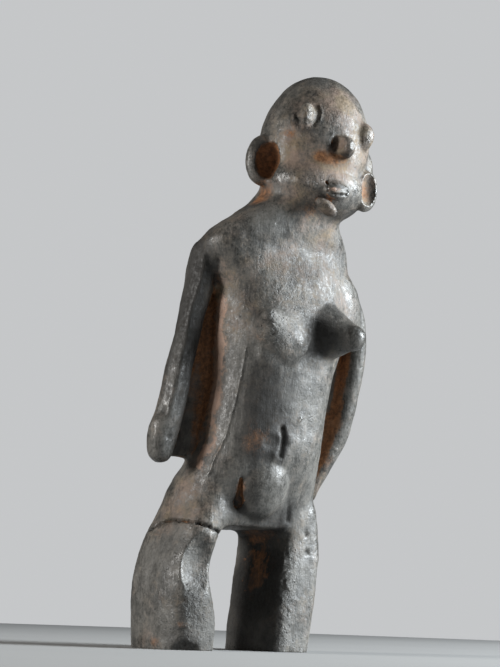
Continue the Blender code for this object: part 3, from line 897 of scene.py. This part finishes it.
def fired_clay():
    """Smoke-blackened clay, burnished, worn to tan and with earth in its recesses, with painted shade in its
    creases and shadowed places, painted light on the face and a painted highlight along the belly's ridge.
    """
    n = Nodes("fired_clay")
    earth, tan_and_painted_light, coarse = n.mask("earth"), n.mask("tan_and_painted_light"), n.mask("coarse")
    worn, soot_and_shade, bare_and_highlight = n.mask("worn"), n.mask("soot_and_shade"), n.mask("bare_and_highlight")
    cloud = n.cloudy(0.022, 4)
    mottle = n.cloudy(0.0060, 5, 0.6)
    grit = n.cloudy(0.0013, 3, 0.65)
    scrape = n.cloudy(0.0010, 3, 0.6, stretch=(1, 1, 0.10))
    streak = n.cloudy(0.0050, 4, 0.6, stretch=(1, 1, 0.14))
    spot, chance = n.spots(0.0026)
    grain, grain_chance = n.spots(0.0012)
    fleck = n.cloudy(0.0024, 4, 0.7)

    # Black to grey, with the cloudiness of the smoke
    smoke = n.mixed((cloud, 1.0), (mottle, 0.6), (fleck, 0.4), (grit, 0.5), (scrape, 0.35), (streak, 0.5))
    black = n.blend(n.ease(smoke, -0.30, 0.34), *SMOKE)
    # Tan clay showing through, in patches with ragged edges, and, in the same clay colours, the painted light
    # on the face
    thin = n.plus(n.mixed((mottle, 0.6), (fleck, 0.45), (scrape, 0.2), (grit, 0.6), (streak, 0.35)), tan_and_painted_light)
    thin = n.ease(thin, 0.10, 1.05, 0.0, 0.9)
    pink = n.blend(n.ease(fleck, 0.3, 0.7), *PINK)
    ochre = n.blend(n.ease(fleck, 0.3, 0.7), *OCHRE)
    clay = n.blend(n.ease(n.cloudy(0.014, 3), 0.4, 0.6), pink, ochre)
    colour = n.blend(thin, black, clay)
    # Bare clay, where the surface is lost: lips, left ear's cup, below the nose, flank; along the belly's
    # ridge the same colour is a painted highlight
    colour = n.blend(n.ease(n.times(bare_and_highlight, fleck), 0.18, 0.42), colour, BARE_CLAY_AND_HIGHLIGHT)
    # Pale grains of grit and mineral
    speck = n.times(n.ease(grain, 0.28, 0.12), n.ease(grain_chance, 0.72, 0.78))
    speck = n.times(speck, n.ease(coarse, 0.2, 0.8))
    colour = n.blend(n.times(speck, 0.5), colour, GRIT)
    # Soot, painted shade in creases, recesses and shadowed places, and pits painted near black
    pit = n.times(n.ease(spot, 0.30, 0.12), n.ease(chance, 0.86, 0.92))
    pit = n.times(pit, n.ease(coarse, 0.25, 0.8))
    soot_shade_and_pits = n.math("MAXIMUM", n.times(soot_and_shade, 0.86), n.times(pit, 0.8))
    colour = n.blend(soot_shade_and_pits, colour, SOOT_AND_SHADE_BLACK)
    # Reddish earth
    dirt = n.plus(n.plus(earth, n.times(grit, 0.5)), n.times(mottle, 0.5))
    dirt = n.ease(dirt, 0.62, 1.25, 0.0, 0.95)
    soil = n.blend(n.ease(fleck, 0.3, 0.7), *SOIL)
    colour = n.blend(dirt, colour, soil)
    n.join(colour, n.shader.inputs["Base Color"])

    # Burnished where it is black, dull where it is worn, rough where earth lies
    rough = n.ease(fleck, 0.35, 0.65, 0.30, 0.60)
    rough = n.plus(rough, n.ease(scrape, 0.35, 0.7, -0.04, 0.10))
    rough = n.plus(rough, n.ease(coarse, 0.2, 1.0, 0.0, 0.08))
    rough = n.plus(rough, n.times(thin, 0.24))
    rough = n.plus(rough, n.times(worn, -0.18))
    rough = n.plus(rough, n.times(n.math("MAXIMUM", dirt, soot_shade_and_pits), 0.35))
    n.join(n.math("MINIMUM", rough, 0.95), n.shader.inputs["Roughness"])
    n.shader.inputs["Specular IOR Level"].default_value = 0.34

    # Scrapes, grit and pits too fine for the surface itself
    height = n.times(n.plus(grit, fleck), n.ease(coarse, 0.1, 1.0, 0.26, 1.4))
    height = n.plus(height, n.times(scrape, 0.28))
    height = n.plus(height, n.times(mottle, 0.5))
    height = n.plus(height, n.times(pit, -0.9))
    height = n.plus(height, n.times(speck, 0.4))
    bump = n.add("ShaderNodeBump", {"Height": height, "Strength": 0.85, "Distance": 0.0007})
    n.join(bump.outputs[0], n.shader.inputs["Normal"])
    return n.material


def pale_floor():
    """A dull, pale floor, faintly uneven in colour."""
    n = Nodes("pale_floor")
    uneven = n.ease(n.cloudy(0.6, 3), 0.3, 0.7)
    n.join(n.blend(uneven, (0.27, 0.27, 0.268), (0.29, 0.29, 0.287)), n.shader.inputs["Base Color"])
    n.shader.inputs["Roughness"].default_value = 1.0
    n.shader.inputs["Specular IOR Level"].default_value = 0.1
    return n.material


# The piece

figure = model_figure()
refine(figure)
mark(figure)
stand(figure)
lay_masks(figure)
figure.data.materials.append(fired_clay())
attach(figure, "root")
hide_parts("figure")


# Floor, light and camera

# Height in metres that the lights are aimed at
AIM_HEIGHT = 0.2
# The photograph's frame in pixels, where the ground between the legs shows in it, and the lens in its pixels
FRAME_WIDTH, FRAME_HEIGHT = 500, 667
GROUND_PIXEL_X, GROUND_PIXEL_Y = 222, 650
FOCAL_PIXELS = 2143.0
# Where the camera stands from that ground: degrees from straight ahead, units off, units up, degrees of roll
CAMERA_AZIMUTH = -38
CAMERA_DISTANCE = 1500
CAMERA_UP = 30
CAMERA_ROLL = 2
SENSOR = 36


def lay_floor():
    bm = bmesh.new()
    bmesh.ops.create_circle(bm, cap_ends=True, segments=128, radius=1.2)
    floor = new_object("floor", bm)
    floor.data.materials.append(pale_floor())


def ring(azimuth, lift, distance):
    """A place round the figure, by its azimuth and lift in degrees."""
    a, e = math.radians(azimuth), math.radians(lift)
    way = Vector((math.sin(a) * math.cos(e), -math.cos(a) * math.cos(e), math.sin(e)))
    return way * distance + Vector((0, 0, AIM_HEIGHT))


def add_light(name, place, size, watts, colour):
    """A round lamp, turned towards the figure."""
    light = bpy.data.lights.new(name, "AREA")
    light.shape = "DISK"
    light.size = size
    light.energy = watts
    light.color = colour
    lamp = bpy.data.objects.new(name, light)
    bpy.context.scene.collection.objects.link(lamp)
    lamp.location = place
    lamp.rotation_euler = (place - Vector((0, 0, AIM_HEIGHT))).to_track_quat("Z", "Y").to_euler()


def light_studio():
    """A cool key light, a weaker warm one at the other side, and a dim room before a pale backdrop."""
    add_light("key", ring(azimuth=51, lift=17, distance=1.7), size=1.1, watts=120, colour=(0.90, 0.96, 1.0))
    add_light("side", ring(azimuth=-104, lift=10, distance=1.6), size=0.5, watts=29, colour=(1.0, 0.98, 0.95))
    world = bpy.data.worlds.new("studio")
    bpy.context.scene.world = world
    world.use_nodes = True
    tree = world.node_tree
    backdrop = tree.nodes["Background"]
    backdrop.inputs[0].default_value = (0.56, 0.57, 0.58, 1)
    room = tree.nodes.new("ShaderNodeBackground")
    room.inputs[0].default_value = (0.068, 0.067, 0.066, 1)
    sight, mix = tree.nodes.new("ShaderNodeLightPath"), tree.nodes.new("ShaderNodeMixShader")
    tree.links.new(sight.outputs["Is Camera Ray"], mix.inputs[0])
    tree.links.new(room.outputs[0], mix.inputs[1])
    tree.links.new(backdrop.outputs[0], mix.inputs[2])
    tree.links.new(mix.outputs[0], tree.nodes["World Output"].inputs[0])


def place_camera():
    """A long lens from the figure's right, near the ground and a little rolled."""
    azimuth, roll = math.radians(CAMERA_AZIMUTH), math.radians(CAMERA_ROLL)
    distance, up = CAMERA_DISTANCE * UNIT, CAMERA_UP * UNIT
    ground = Vector((-MIDDLE.x * UNIT, -MIDDLE.y * UNIT, 0))
    across, rise = GROUND_PIXEL_X - FRAME_WIDTH / 2, FRAME_HEIGHT / 2 - GROUND_PIXEL_Y
    along = math.cos(roll) * across - math.sin(roll) * rise
    above = math.sin(roll) * across + math.cos(roll) * rise
    pitch = math.atan2(-above, FOCAL_PIXELS) - math.atan2(up, distance)
    yaw = math.atan2(along, math.hypot(FOCAL_PIXELS, above))
    camera = bpy.data.objects.new("camera", bpy.data.cameras.new("camera"))
    bpy.context.scene.collection.objects.link(camera)
    camera.data.sensor_width = SENSOR
    camera.data.lens = SENSOR * FOCAL_PIXELS / FRAME_HEIGHT
    camera.data.clip_start = 0.05
    place = ground + Vector((math.sin(azimuth) * distance, -math.cos(azimuth) * distance, up))
    camera.matrix_world = (
        Matrix.Translation(place)
        @ Matrix.Rotation(azimuth + yaw, 4, "Z")
        @ Matrix.Rotation(math.pi / 2 + pitch, 4, "X")
        @ Matrix.Rotation(roll, 4, "Z")
    )
    bpy.context.scene.camera = camera


lay_floor()
light_studio()
place_camera()
bpy.context.scene.view_settings.view_transform = "Standard"

bpy.context.view_layer.update()
